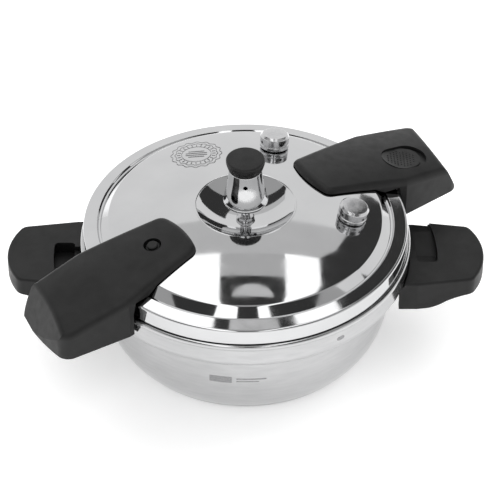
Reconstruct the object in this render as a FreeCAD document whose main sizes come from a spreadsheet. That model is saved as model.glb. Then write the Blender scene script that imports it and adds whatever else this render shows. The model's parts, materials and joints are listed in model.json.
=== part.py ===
import FreeCAD, Part
import math
import os
from types import SimpleNamespace

import Sketcher
from FreeCAD import Placement, Rotation, Vector

# A low stainless stovetop pressure cooker with a bayonet lid, in millimetres.
# The origin is the centre of the base's underside, +Z is up and the two pot handles lie along X.
# The lid is seated but unlocked, so its handles stand turned from the pot's by lid_turn degrees.
# Lid pieces are drawn with the lid handles along X, and their Placement turns them.
# Valve pieces are drawn on their own axis, with the lid's outer surface at z = 0.

DIMENSIONS = [
    ("wall", 1.2, "thickness of the drawn steel of the pot and the lid"),
    ("body_radius", 99.5, "outside of the pot's straight wall"),
    ("wall_foot", 44, "height where the straight wall starts"),
    ("wall_head", 57, "height where the wall steps out to the collar"),
    ("side_radius", 80, "upper curve of the pot's side"),
    ("side_sweep", 14.4, "degrees that the upper curve turns through"),
    ("corner_radius", 50, "lower curve of the pot's side"),
    ("heel_radius", 8, "curve between the side and the flat bottom"),
    ("base_rise", 4.5, "underside of the pot's own bottom, above the floor"),
    ("cap_wall", 0.8, "steel skin under the heat-spreading core"),
    ("core_radius", 80, "radius of the aluminium core"),
    ("collar_radius", 111.2, "outside of the collar under the rim"),
    ("collar_foot", 66.7, "height where the collar is straight again"),
    ("bead_foot", 76.9, "height where the rolled bead starts"),
    ("shoulder_top", 80.6, "top of the shoulder inside the bead"),
    ("neck_radius", 101.5, "outside of the neck above the shoulder"),
    ("mouth_top", 87.6, "top face that the sealing ring sits over"),
    ("mouth_radius", 102.5, "outside of the mouth's continuous flange"),
    ("pot_lug_radius", 107.3, "outside of the pot's six lugs"),
    ("lug_count", 6, "lugs on the pot, and as many on the lid"),
    ("pot_lug_half", 13, "half the angle of a pot lug"),
    ("lid_lug_half", 14, "half the angle of a lid lug"),
    ("lid_lug_radius", 103, "inside of the lid's lugs"),
    ("skirt_foot", 81.3, "lower edge of the lid's skirt"),
    ("lid_lug_foot", 84.4, "underside of the lid's lugs"),
    ("lid_turn", 34, "degrees from locked to the open place"),
    ("rim_radius", 109.5, "outside of the lid's skirt"),
    ("rim_top", 92.3, "outer edge of the lid's sloping band"),
    ("band_rise", 1.7, "how much higher the band's inner edge is"),
    ("rim_round", 1.6, "rounding of the band's outer edge"),
    ("valley_depth", 1.0, "groove between the band and the dome"),
    ("dome_foot_radius", 92, "where the dome meets the steep shoulder"),
    ("dome_foot_height", 98.7, "height of the dome at that shoulder"),
    ("dome_radius", 367, "radius of the dome's curve"),
    ("dish_radius", 33.6, "crisp ring around the central dish"),
    ("dish_rim_height", 108.5, "height of that ring"),
    ("dish_depth", 12.5, "depth of the dish below its ring"),
    ("valve_radius", 71.5, "distance of the safety valves from the centre"),
    ("valve_angle", 40, "degrees from the locking handle to each safety valve"),
    ("float_radius", 73, "distance of the float valve from the centre"),
    ("valve_cap_radius", 10, "radius of a safety valve's cap"),
    ("valve_cap_height", 10.5, "height of a safety valve's cap"),
    ("seat_radius", 5, "thread radius of a valve seat"),
    ("pipe_radius", 2.9, "outside of the vent pipe"),
    ("pipe_foot", 84.8, "lower end of the vent pipe"),
    ("pipe_top", 118, "tip of the vent pipe, where the weight's needle sits"),
    ("weight_foot", 102.8, "lower end of the weight's neck"),
    ("weight_bore", 4.2, "bore that slips over the vent pipe"),
    ("weight_top", 147.5, "top of the weight's black cap"),
    ("weight_cap_radius", 13, "radius of that cap"),
    ("weight_joint", 138.4, "height where the cap meets the metal barrel"),
    ("lid_handle_start", 48.5, "inner end of a lid handle"),
    ("lid_handle_end", 162.3, "outer end of a lid handle"),
    ("lid_handle_foot", 69, "underside of a lid handle's outer part"),
    ("lid_handle_half", 31.5, "half the width of a lid handle at the rim"),
    ("lid_handle_tip_half", 28.5, "half its width near the outer end"),
    ("nose_skew", 10, "degrees that the sloping nose is turned from square"),
    ("lid_handle_slim_half", 21.8, "half its width at the inner end"),
    ("crown_drop", 40, "depth of the axis that the handles' crown turns about"),
    ("rim_gap", 112.6, "inner face of a lid handle's hanging part"),
    ("key_start", 118, "inner end of the key under a lid handle"),
    ("key_end", 129, "outer end of that key"),
    ("key_half", 8.5, "half the width of the key"),
    ("key_foot", 62.8, "underside of the key"),
    ("slider_place", 126.5, "distance of the oval thumb recess from the centre"),
    ("slider_offset", -8, "its offset to one side"),
    ("slider_height", 98.3, "height of the handle's top there"),
    ("slider_slope", 11.8, "slope of the handle's top there, in degrees"),
    ("bolt_offset", -3, "offset of the stem and the bolt to that side"),
    ("bolt_foot", 63.1, "underside of the flat lock bolt"),
    ("bolt_height", 1.4, "thickness of that bolt"),
    ("slider_travel", 5, "travel of the lock slider"),
    ("pot_handle_start", 107.5, "inner face of a pot handle"),
    ("pot_handle_end", 162, "outer end of a pot handle"),
    ("pot_handle_top", 66, "top of a pot handle"),
    ("pot_handle_foot", 44, "underside of a pot handle at its root"),
    ("pot_handle_half", 33.5, "half the width of a pot handle at its root"),
    ("pot_handle_tip_half", 28, "half its width near the tip"),
    ("channel_inner", 116.5, "inner radius of the channel that the key runs in"),
    ("channel_outer", 130.5, "outer radius of that channel"),
    ("channel_floor", 57.5, "floor of the channel"),
    ("channel_end", 10, "distance from the middle to the channel's closed end"),
    ("tongue_half", 17, "half the width of a lid bracket's tongue"),
    ("lid_screw_spread", 13, "offset of a lid handle's screws from its middle"),
    ("lid_screw_place", 122, "distance of those screws from the centre"),
    ("pot_screw_place", 117, "distance of a pot handle's screw from the centre"),
]

document = FreeCAD.newDocument("pressure_cooker")
sheet = document.addObject("Spreadsheet::Sheet", "sizes")
parts = []


class Length:
    """A number together with the spreadsheet expression that gives it."""

    def __init__(self, value, text=None):
        self.value = float(value)
        self.text = text or f"{self.value:.9g}"

    def __add__(self, other):
        other = length(other)
        return Length(self.value + other.value, f"({self.text} + {other.text})")

    def __sub__(self, other):
        other = length(other)
        return Length(self.value - other.value, f"({self.text} - {other.text})")

    def __mul__(self, other):
        other = length(other)
        return Length(self.value * other.value, f"({self.text} * {other.text})")

    def __truediv__(self, other):
        other = length(other)
        return Length(self.value / other.value, f"({self.text} / {other.text})")

    def __neg__(self):
        return Length(-self.value, f"(0 - {self.text})")

    def __radd__(self, other):
        return length(other) + self

    def __rsub__(self, other):
        return length(other) - self

    def __rmul__(self, other):
        return length(other) * self


def length(number):
    """A plain number as a Length; a Length stays as it is."""
    return number if isinstance(number, Length) else Length(number)


def cosine(angle):
    return Length(math.cos(math.radians(angle.value)), f"cos({angle.text})")


def sine(angle):
    return Length(math.sin(math.radians(angle.value)), f"sin({angle.text})")


def root(square):
    return Length(math.sqrt(square.value), f"sqrt({square.text})")


def across(radius, rise):
    """Half the width of a circle at a given distance from its centre."""
    return root(radius * radius - rise * rise)


def fill_sheet():
    """Write each driving size in a row of the sheet and return them by name."""
    found = SimpleNamespace()
    for row, (name, value, note) in enumerate(DIMENSIONS, start=1):
        sheet.set(f"A{row}", name)
        sheet.set(f"B{row}", str(value))
        sheet.set(f"C{row}", note)
        sheet.setAlias(f"B{row}", name)
        setattr(found, name, Length(value, f"sizes.{name}"))
    document.recompute()
    return found


size = fill_sheet()


def bind(thing, path, number):
    """Set a property and tie it to the sheet."""
    number = length(number)
    setattr(thing, path, number.value)
    thing.setExpression(path, number.text)


def plane_of(body, role):
    """One of a body's own origin planes or axes."""
    return next(feature for feature in body.Origin.OriginFeatures if feature.Role == role)


def new_sketch(body, name, plane, lift=0, frame=None):
    """A sketch on an origin plane, raised along the plane's normal or put in a frame of its own."""
    sketch = body.newObject("Sketcher::SketchObject", name)
    sketch.AttachmentSupport = (plane_of(body, plane), [""])
    sketch.MapMode = "FlatFace"
    if frame is not None:
        sketch.AttachmentOffset = frame
        return sketch
    sketch.AttachmentOffset = Placement(Vector(0, 0, length(lift).value), Rotation())
    sketch.setExpression("AttachmentOffset.Base.z", length(lift).text)
    return sketch


def arc_between(start, end, radius):
    """The shorter arc from start to end; a radius above zero turns left, below zero right."""
    half = (end - start).Length / 2
    left = Vector(start.y - end.y, end.x - start.x, 0).normalize()
    reach = math.sqrt(max(radius ** 2 - half ** 2, 0))
    centre = (start + end) * 0.5 + left * math.copysign(reach, radius)
    angles = [math.atan2(point.y - centre.y, point.x - centre.x) for point in (start, end)]
    if radius < 0:
        angles.reverse()
    if angles[1] < angles[0]:
        angles[1] += 2 * math.pi
    return Part.ArcOfCircle(Part.Circle(centre, Vector(0, 0, 1), abs(radius)), *angles)


def hold(sketch, rules):
    """Add constraints, each with the Length that its value is tied to, or None."""
    first = sketch.ConstraintCount
    sketch.addConstraint([rule for rule, number in rules])
    for index, (rule, number) in enumerate(rules, start=first):
        if number is not None and "sizes." in number.text:
            sketch.setExpression(f"Constraints[{index}]", number.text)


def pin(edge, corner, x, y):
    """The rules that hold one point of an edge at (x, y)."""
    rules = []
    for kind, number, axis in (("DistanceX", x, -2), ("DistanceY", y, -1)):
        if abs(number.value) < 1e-9:
            rules.append((Sketcher.Constraint("PointOnObject", edge, corner, axis), None))
        else:
            rules.append((Sketcher.Constraint(kind, -1, 1, edge, corner, number.value), number))
    return rules


def draw(sketch, corners):
    """Draw a closed outline of corners (x, y), or (x, y, radius) where an arc leaves the corner."""
    corners = [[length(number) for number in corner] for corner in corners]
    first = sketch.GeometryCount
    edges = []
    rules = []
    for index, corner in enumerate(corners):
        following = corners[(index + 1) % len(corners)]
        start = Vector(corner[0].value, corner[1].value, 0)
        end = Vector(following[0].value, following[1].value, 0)
        bent = len(corner) == 3
        edges.append(arc_between(start, end, corner[2].value) if bent else Part.LineSegment(start, end))
    starts = [2 if len(corner) == 3 and corner[2].value < 0 else 1 for corner in corners]
    for index, corner in enumerate(corners):
        edge = first + index
        following = (index + 1) % len(corners)
        joined = Sketcher.Constraint("Coincident", edge, 3 - starts[index], first + following, starts[following])
        rules.append((joined, None))
        rules += pin(edge, starts[index], corner[0], corner[1])
        if len(corner) == 3:
            bend = corner[2] if corner[2].value > 0 else -corner[2]
            rules.append((Sketcher.Constraint("Radius", edge, bend.value), bend))
    sketch.addGeometry(edges, False)
    hold(sketch, rules)


def draw_circle(sketch, x, y, radius):
    x, y, radius = length(x), length(y), length(radius)
    centre = Vector(x.value, y.value, 0)
    edge = sketch.addGeometry(Part.Circle(centre, Vector(0, 0, 1), radius.value), False)
    hold(sketch, pin(edge, 3, x, y) + [(Sketcher.Constraint("Radius", edge, radius.value), radius)])


def rectangle(x_low, x_high, y_low, y_high):
    return [(x_low, y_low), (x_high, y_low), (x_high, y_high), (x_low, y_high)]


def slot_outline(x_middle, y_middle, half_long, half_wide):
    """A slot with round ends, long in x."""
    reach = half_long - half_wide
    return [
        (x_middle - reach, y_middle - half_wide),
        (x_middle + reach, y_middle - half_wide, half_wide * 1.0001),
        (x_middle + reach, y_middle + half_wide),
        (x_middle - reach, y_middle + half_wide, half_wide * 1.0001),
    ]


def new_body(name):
    body = document.addObject("PartDesign::Body", name)
    body.Label = name
    parts.append(body)
    return body


def swept_round(body, kind, name, corners, axis="V_Axis", angle=360):
    """Turn an outline in the XZ plane about an axis, adding or removing material."""
    sketch = new_sketch(body, name + "_profile", "XZ_Plane")
    draw(sketch, corners)
    feature = body.newObject("PartDesign::" + kind, name)
    feature.Profile = sketch
    feature.ReferenceAxis = (sketch, [axis])
    feature.Angle = angle
    return feature


def turned(name, corners):
    """A piece turned about Z from its half outline, given as (radius, height) corners."""
    body = new_body(name)
    swept_round(body, "Revolution", name + "_turned", corners)
    return body


def groove(body, name, corners):
    return swept_round(body, "Groove", name, corners)


def pad(body, name, corners, bottom, height, frame=None):
    """Raise an outline from the height bottom, or from a frame's own floor."""
    sketch = new_sketch(body, name + "_outline", "XY_Plane", bottom, frame)
    draw(sketch, corners)
    feature = body.newObject("PartDesign::Pad", name)
    feature.Profile = sketch
    bind(feature, "Length", height)
    return feature


def pocket(body, name, corners, top, depth, frame=None):
    """Cut an outline downwards from the height top; corners may be one (x, y, radius) circle."""
    sketch = new_sketch(body, name + "_outline", "XY_Plane", top, frame)
    if len(corners) == 1:
        draw_circle(sketch, *corners[0])
    else:
        draw(sketch, corners)
    feature = body.newObject("PartDesign::Pocket", name)
    feature.Profile = sketch
    bind(feature, "Length", depth)
    return feature


def side_pocket(body, name, corners, depth):
    """Cut an outline of the XZ plane through the piece, the same depth to each side."""
    sketch = new_sketch(body, name + "_outline", "XZ_Plane")
    draw(sketch, corners)
    feature = body.newObject("PartDesign::Pocket", name)
    feature.Profile = sketch
    feature.SideType = "Symmetric"
    bind(feature, "Length", depth)
    return feature


def around(body, name, feature, count):
    """Repeat a feature evenly about Z."""
    pattern = body.newObject("PartDesign::PolarPattern", name)
    pattern.Originals = [feature]
    pattern.Axis = (plane_of(body, "Z_Axis"), [""])
    pattern.Angle = 360
    pattern.Occurrences = int(length(count).value)
    body.Tip = pattern
    return pattern


def rounded(body, name, radius, wanted):
    """Fillet the edges of the body's last feature that the test called wanted picks."""
    document.recompute()
    base = body.Tip
    chosen = [f"Edge{index + 1}" for index, edge in enumerate(base.Shape.Edges) if wanted(edge)]
    feature = body.newObject("PartDesign::Fillet", name)
    feature.Base = (base, chosen)
    bind(feature, "Radius", radius)
    return feature


def middle(edge):
    return edge.valueAt((edge.FirstParameter + edge.LastParameter) / 2)


def ring_at(radius, height):
    """A test for the circular edge of a turned piece at a given radius and height."""
    def wanted(edge):
        point = middle(edge)
        return math.hypot(math.hypot(point.x, point.y) - radius.value, point.z - height.value) < 0.2
    return wanted


def upright_at(places, reach=0.6):
    """A test for upright edges that stand at one of the (x, y) places, on either side of y."""
    def wanted(edge):
        point = middle(edge)
        flat = edge.BoundBox.XLength + edge.BoundBox.YLength
        near = any(math.hypot(point.x - x, abs(point.y) - y) < reach for x, y in places)
        return flat < 0.01 and near
    return wanted


def sector(inner, outer, half_angle):
    """A ring sector that is symmetric about X."""
    inner, outer = length(inner), length(outer)
    return [
        (inner * cosine(half_angle), -(inner * sine(half_angle))),
        (outer * cosine(half_angle), -(outer * sine(half_angle)), outer),
        (outer * cosine(half_angle), outer * sine(half_angle)),
        (inner * cosine(half_angle), inner * sine(half_angle), -inner),
    ]


def about_z(angle):
    return Placement(Vector(), Rotation(Vector(0, 0, 1), angle))


LID_PLACE = about_z(size.lid_turn.value)


def dome_height(radius):
    """Height of the lid's outer surface on the dome."""
    foot = across(size.dome_radius, size.dome_foot_radius)
    return size.dome_foot_height - foot + across(size.dome_radius, length(radius))


def valve_frame(angle, radius):
    """Where a valve stands on the dome: Z square to the surface, X leaning away from the centre."""
    lean = math.degrees(math.asin(radius.value / size.dome_radius.value))
    seat = Placement(Vector(radius.value, 0, dome_height(radius).value), Rotation(Vector(0, 1, 0), lean))
    return about_z(angle) * seat


VALVES = {
    "back": valve_frame(size.valve_angle.value, size.valve_radius),
    "front": valve_frame(-size.valve_angle.value, size.valve_radius),
}
FLOAT_FRAME = valve_frame(180, size.float_radius)


# ---- the pot ----

def side_curve(inset):
    """The pot's side from the flat bottom to the step, set in by a wall or not at all."""
    inset = length(inset)
    upper_x = size.body_radius - size.side_radius
    joint_x = upper_x + size.side_radius * cosine(size.side_sweep)
    joint_z = size.wall_foot - size.side_radius * sine(size.side_sweep)
    lower_x = joint_x - size.corner_radius * cosine(size.side_sweep)
    lower_z = joint_z + size.corner_radius * sine(size.side_sweep)
    heel_z = size.base_rise + size.heel_radius
    heel_x = lower_x + across(size.corner_radius - size.heel_radius, lower_z - heel_z)
    stretch = (size.corner_radius - inset) / (size.corner_radius - size.heel_radius)
    upper = size.side_radius - inset
    return [
        (heel_x, size.base_rise + inset, size.heel_radius - inset),
        (lower_x + (heel_x - lower_x) * stretch, lower_z - (lower_z - heel_z) * stretch,
         size.corner_radius - inset),
        (upper_x + upper * cosine(size.side_sweep), size.wall_foot - upper * sine(size.side_sweep), upper),
        (size.body_radius - inset, size.wall_foot),
    ]


def step_curve(inset):
    """The double bend between the straight wall and the collar."""
    inset = length(inset)
    half_x = (size.collar_radius - size.body_radius) / 2
    half_z = (size.collar_foot - size.wall_head) / 2
    bend = (half_x * half_x + half_z * half_z) / (half_x * 2)
    first_x = size.body_radius + bend
    slope_x = (half_x - bend) / bend
    slope_z = half_z / bend
    outer_bend = bend + inset
    return [
        (size.body_radius - inset, size.wall_head, -outer_bend),
        (first_x + outer_bend * slope_x, size.wall_head + outer_bend * slope_z, bend - inset),
        (size.collar_radius - inset, size.collar_foot),
    ]


def make_pot_body():
    wall = size.wall
    outside = [(0, size.base_rise)] + side_curve(0) + step_curve(0)
    rim = [
        (size.collar_radius, size.bead_foot, 2.2),
        (size.collar_radius - 1.1, size.shoulder_top),
        (size.neck_radius, size.shoulder_top),
        (size.neck_radius, size.mouth_top - wall),
        (size.mouth_radius, size.mouth_top - wall),
        (size.mouth_radius, size.mouth_top),
        (size.neck_radius - wall, size.mouth_top),
        (size.neck_radius - wall, size.shoulder_top - wall),
        (size.collar_radius - wall, size.shoulder_top - wall),
    ]
    inside = list(reversed(mirror_arcs(side_curve(wall) + step_curve(wall)))) + [(0, size.base_rise + wall)]
    body = turned("pot_body", outside + rim + inside)
    lug = pad(body, "pot_lug", sector(size.neck_radius, size.pot_lug_radius, size.pot_lug_half),
              size.mouth_top - wall, wall)
    around(body, "pot_lugs", lug, size.lug_count)


def mirror_arcs(corners):
    """The same corners ready to be walked backwards: each arc moves to its other end and turns over."""
    moved = []
    bend = None
    for corner in corners:
        moved.append(corner[:2] if bend is None else corner[:2] + (-length(bend),))
        bend = corner[2] if len(corner) == 3 else None
    return moved


def make_base():
    """The aluminium core under the pot, and the steel cap that wraps it."""
    turned("base_core", [(0, size.cap_wall), (size.core_radius, size.cap_wall),
                         (size.core_radius, size.base_rise), (0, size.base_rise)])
    heel, shoulder = side_curve(0)[:2]
    stretch = size.corner_radius / size.heel_radius
    lower_x = shoulder[0] - (shoulder[0] - heel[0]) * stretch
    lower_z = shoulder[1] + (size.base_rise + size.heel_radius - shoulder[1]) * stretch
    seam_z = size.base_rise + 1.9
    rise = size.base_rise + size.heel_radius - seam_z
    turned("base_cap", [
        (0, 0),
        (size.core_radius + 1.8, 0, 2.4),
        (lower_x + across(size.corner_radius, lower_z - 1.2), 1.2, size.corner_radius),
        (lower_x + across(size.corner_radius, lower_z - seam_z), seam_z),
        (heel[0] + across(size.heel_radius, rise), seam_z, -size.heel_radius),
        heel[:2],
        (size.core_radius + 0.1, size.base_rise),
        (size.core_radius + 0.1, size.cap_wall),
        (0, size.cap_wall),
    ])


def pot_handle_outline():
    start, end = size.pot_handle_start - 4, size.pot_handle_end
    half, tip_half = size.pot_handle_half, size.pot_handle_tip_half
    tip_start = end - 9
    tip_bend = (tip_half * tip_half + length(81)) / 18
    return [
        (start, -half),
        (start + 12, -half),
        (tip_start, -tip_half, tip_bend),
        (tip_start, tip_half),
        (start + 12, half),
        (start, half),
    ]


def make_pot_handle(name, turn):
    """A black ear with an S-shaped underside and a ramped channel for the lid handle's key."""
    body = new_body(name)
    pad(body, name + "_block", pot_handle_outline(), size.pot_handle_foot,
        size.pot_handle_top - size.pot_handle_foot)
    tip = (size.pot_handle_end.value - 9, size.pot_handle_tip_half.value)
    rounded(body, name + "_corners", 7, upright_at([tip]))
    far = size.pot_handle_end + 5
    foot = size.pot_handle_foot
    side_pocket(body, name + "_underside", [
        (size.pot_handle_start + 15.5, foot - 5),
        (far, foot - 5),
        (far, foot + 9.8),
        (size.pot_handle_end - 10, foot + 9, 60),
        (size.pot_handle_start + 28, foot + 4.6, -28),
        (size.pot_handle_start + 15.5, foot),
    ], 90)
    document.recompute()
    top = size.pot_handle_top.value
    rounded(body, name + "_top_edge", 1.6, lambda edge: edge.BoundBox.ZMin > top - 0.01
            and middle(edge).x > size.pot_handle_start.value)
    inner = size.pot_handle_start
    groove(body, name + "_pot_side", [
        (90, foot - 1),
        (inner, foot - 1),
        (inner, foot + 17),
        (inner + 2, foot + 17.6),
        (inner + 4.4, foot + 20.5),
        (inner + 4.4, size.pot_handle_top + 1),
        (90, size.pot_handle_top + 1),
    ])
    cut_channel(body, name)
    pocket(body, name + "_tongue_slot", rectangle(100, size.pot_screw_place + 8.3, -12.3, 12.3), foot + 8.8, 3.1)
    pocket(body, name + "_screw_hole", [(size.pot_screw_place, 0, 2.2)], foot + 11.4, 11.5)
    pocket(body, name + "_screw_recess", [(size.pot_screw_place, 0, 4)], foot + 2.8, 2.9)
    body.Placement = about_z(turn)
    return body


def cut_channel(body, name):
    """The ring-shaped channel: a deep stretch with a closed end, a ramp and a lowered open side."""
    inner, outer = size.channel_inner, size.channel_outer
    near, bend = -size.channel_end, length(6)
    side = size.pot_handle_half + 3
    top = size.pot_handle_top + 1
    corner = 3
    pocket(body, name + "_channel", [
        (across(inner, near) + corner, near),
        (across(outer, near) - corner, near, corner * 1.01),
        (across(outer, near + corner), near + corner, outer),
        (across(outer, bend), bend),
        (across(inner, bend), bend, -inner),
        (across(inner, near + corner), near + corner, corner * 1.01),
    ], top, top - size.channel_floor)
    slope = 14
    reach = length(30)
    far = bend + reach * math.cos(math.radians(slope))
    ramp = Placement(Vector(0, bend.value, size.channel_floor.value), Rotation(Vector(1, 0, 0), slope))
    climb = pocket(body, name + "_ramp", [
        (across(inner, bend), 0),
        (across(outer, bend), 0, outer),
        (across(outer, far), reach),
        (across(inner, far), reach, -inner),
    ], 0, 20, ramp)
    climb.Reversed = True
    edge = length(-6)
    pocket(body, name + "_open_side", [
        (size.pot_handle_start - 6, edge),
        (across(outer - 1, edge), edge, outer - 1),
        (across(outer - 1, side), side),
        (size.pot_handle_start - 6, side),
    ], top, top - (size.channel_floor + 5))
    play = length(0.3)
    bolt = size.bolt_offset
    pocket(body, name + "_bolt_pocket", rectangle(outer - 2, outer + 5.5, bolt - 5, bolt + 5),
           size.bolt_foot + size.bolt_height + play, size.bolt_height + play * 2)


def make_pot_bracket(name, turn):
    """A steel bracket welded to the pot's wall, with a tongue that enters the handle."""
    body = new_body(name)
    inner = size.body_radius + 0.05
    foot = size.pot_handle_foot + 2
    pad(body, name + "_plate", sector(inner, inner + 2, length(8)), foot, 10.5)
    tongue_end = size.pot_screw_place + 8
    pad(body, name + "_tongue", rectangle(inner + 1, tongue_end, -12, 12), foot + 4, 2.5)
    pocket(body, name + "_thread", [(size.pot_screw_place, 0, 2.05)], foot + 7, 4)
    body.Placement = about_z(turn)
    return body


def make_screws(name, places, head_foot, head_height, reach):
    """Pan-head screws with a cross recess, driven upwards, as a group of separate solids."""
    group = []
    for index, (place, spot) in enumerate(places):
        head = cylinder(f"{name}_head_{index}", 3.6, head_foot, head_height)
        shank = cylinder(f"{name}_shank_{index}", 2, head_foot + head_height, reach)
        screw = joined(f"{name}_blank_{index}", [head, shank])
        for turn in (0, 90):
            blade = document.addObject("Part::Box", f"{name}_blade_{index}_{turn}")
            bind(blade, "Length", 4.4)
            bind(blade, "Width", 0.9)
            bind(blade, "Height", 1.2)
            corner = Vector(-2.2, -0.45, length(head_foot).value - 0.2)
            blade.Placement = about_z(turn) * Placement(corner, Rotation())
            cut = document.addObject("Part::Cut", f"{name}_cut_{index}_{turn}")
            cut.Base = screw
            cut.Tool = blade
            screw = cut
        screw.Placement = place * Placement(spot, Rotation())
        group.append(screw)
    bundle = document.addObject("Part::Compound", name)
    bundle.Label = name
    bundle.Links = group
    parts.append(bundle)


def cylinder(name, radius, bottom, height):
    shape = document.addObject("Part::Cylinder", name)
    bind(shape, "Radius", radius)
    bind(shape, "Height", height)
    shape.Placement = Placement(Vector(0, 0, length(bottom).value), Rotation())
    shape.setExpression("Placement.Base.z", length(bottom).text)
    return shape


def joined(name, shapes):
    fused = document.addObject("Part::MultiFuse", name)
    fused.Shapes = shapes
    return fused


# ---- the seal and the lid ----

def make_sealing_ring():
    """A silicone ring with a lip, in the lid's channel over the pot's mouth."""
    low, high = size.mouth_top + 0.1, size.rim_top - size.wall - 0.1
    outer = size.rim_radius - size.wall - 0.3
    inner = size.neck_radius - 1.3
    turned("sealing_ring", [
        (inner, low), (outer, low), (outer, high), (inner, high),
        (inner, high - 1.1), (outer - 3.4, high - 1.3, -0.55), (outer - 3.4, low + 1.3), (inner, low + 1.1),
    ])


def make_lid_shell():
    """The domed lid: dish, dome, shoulder, sloping outer band, skirt and six inward lugs."""
    wall = size.wall
    dish = size.dish_radius
    dish_bend = (dish * dish + size.dish_depth * size.dish_depth) / (size.dish_depth * 2)
    dish_centre = size.dish_rim_height - size.dish_depth + dish_bend
    hole = size.pipe_radius + 0.1
    band_top = size.rim_top + size.band_rise
    valley = band_top - size.valley_depth
    inner_dish = dish + 1.0
    inner_foot = size.dome_foot_radius - 0.9
    top = [
        (hole, dish_centre - across(dish_bend, hole), dish_bend),
        (dish, size.dish_rim_height, -size.dome_radius),
        (size.dome_foot_radius, size.dome_foot_height),
        (97.9, valley),
        (99.0, valley),
        (100.0, band_top),
        (size.rim_radius - size.rim_round, size.rim_top, -size.rim_round),
        (size.rim_radius, size.rim_top - size.rim_round),
        (size.rim_radius, size.skirt_foot),
    ]
    under = [
        (size.rim_radius - wall, size.skirt_foot),
        (size.rim_radius - wall, size.rim_top - wall),
        (99.6, band_top - wall),
        (98.6, valley - wall),
        (97.2, valley - wall),
        (inner_foot, dome_height(inner_foot) - wall * 1.03, size.dome_radius - wall),
        (inner_dish, dome_height(inner_dish) - wall, -(dish_bend + wall)),
        (hole, dish_centre - across(dish_bend + wall, hole)),
    ]
    body = turned("lid_shell", top + under)
    rounded(body, "dish_edge", 1.4, ring_at(dish, size.dish_rim_height))
    rounded(body, "dish_edge_under", 0.8, ring_at(inner_dish, dome_height(inner_dish) - wall))
    rounded(body, "shoulder_edge", 2.6, ring_at(size.dome_foot_radius, size.dome_foot_height))
    rounded(body, "shoulder_edge_under", 1.4,
            ring_at(inner_foot, dome_height(inner_foot) - wall * 1.03))
    lug = pad(body, "lid_lug", sector(size.lid_lug_radius, size.rim_radius - wall / 2, size.lid_lug_half),
              size.lid_lug_foot, wall)
    sketch = lug.Profile[0]
    open_place = 30 - size.lid_turn.value
    sketch.AttachmentOffset = Placement(sketch.AttachmentOffset.Base, Rotation(Vector(0, 0, 1), open_place))
    around(body, "lid_lugs", lug, size.lug_count)
    for name, frame in VALVES.items():
        drill(body, f"valve_hole_{name}", frame, size.seat_radius + 0.1)
    drill(body, "float_hole", FLOAT_FRAME, 3.6)
    body.Placement = LID_PLACE


def drill(body, name, frame, radius):
    """A hole square to the dome, through the sheet only."""
    feature = pocket(body, name, [(0, 0, radius)], 0, 8, frame)
    feature.SideType = "Symmetric"
    return feature


def lid_handle_outline():
    start, end = size.lid_handle_start, size.lid_handle_end
    slim, wide, tip = size.lid_handle_slim_half, size.lid_handle_half, size.lid_handle_tip_half
    sag = length(3.5)
    reach = length(2.8)
    slim_bend = (slim * slim + sag * sag) / (sag * 2)
    tip_bend = (tip * tip + reach * reach) / (reach * 2)
    return [
        (start + sag, -slim),
        (112, -wide),
        (end - reach, -tip, tip_bend),
        (end - reach, tip),
        (112, wide),
        (start + sag, slim, slim_bend),
    ]


def make_lid_handle(name, turn):
    """A crowned black handle that lies on the dome, steps over the rim and hangs beside the pot."""
    body = new_body(name)
    foot = size.lid_handle_foot
    pad(body, name + "_block", lid_handle_outline(), foot, 46)
    slim_corner = (size.lid_handle_start.value + 3.5, size.lid_handle_slim_half.value)
    tip_corner = (size.lid_handle_end.value - 2.8, size.lid_handle_tip_half.value)
    rounded(body, name + "_inner_corners", 8, upright_at([slim_corner]))
    rounded(body, name + "_tip_corners", 9, upright_at([tip_corner]))
    cut_crown(body, name)
    cut_nose(body, name)
    document.recompute()
    top_face = max(body.Tip.Shape.Faces, key=lambda face: face.CenterOfMass.z)
    rim = top_face.OuterWire.Edges
    rounded(body, name + "_top_edge", 5, lambda edge: any(edge.isSame(other) for other in rim))
    groove(body, name + "_lid_side", lid_side_clearance())
    pad(body, name + "_key", rectangle(size.key_start, size.key_end, -size.key_half, size.key_half),
        size.key_foot, foot - size.key_foot + 1)
    pocket(body, name + "_tongue_slot", rectangle(100, size.lid_screw_place + 6.2, -size.tongue_half - 0.2,
           size.tongue_half + 0.2), size.rim_top + 2.7, 2.1)
    for side in (-1, 1):
        spot = size.lid_screw_spread * side
        pocket(body, f"{name}_screw_hole_{side + 1}", [(size.lid_screw_place, spot, 2.2)], size.rim_top + 3.6, 28)
        pocket(body, f"{name}_screw_recess_{side + 1}", [(size.lid_screw_place, spot, 4)], foot + 9, 10)
    body.Placement = LID_PLACE * about_z(turn)
    return body


def cut_crown(body, name):
    """Cut the handle's top to a long gentle arc, turned about a low axis so that it is crowned."""
    sketch = new_sketch(body, name + "_crown_profile", "XZ_Plane")
    draw(sketch, [(44, 111.8, -900), (168, 88.8), (168, 145), (44, 145)])
    low = -size.crown_drop
    axis = sketch.addGeometry(Part.LineSegment(Vector(40, low.value, 0), Vector(170, low.value, 0)), True)
    hold(sketch, pin(axis, 1, length(40), low) + pin(axis, 2, length(170), low))
    feature = body.newObject("PartDesign::Groove", name + "_crown")
    feature.Profile = sketch
    feature.ReferenceAxis = (sketch, ["Axis0"])
    feature.Midplane = True
    feature.Angle = 60


def cut_nose(body, name):
    """Slope the handle's outer end: steeply on one side and hardly at all on the other."""
    cut = side_pocket(body, name + "_nose", [(145.5, 103), (163.4, 64), (190, 64), (190, 103)], 120)
    cut.Profile[0].AttachmentOffset = Placement(Vector(), Rotation(Vector(0, 1, 0), -size.nose_skew.value))


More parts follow.
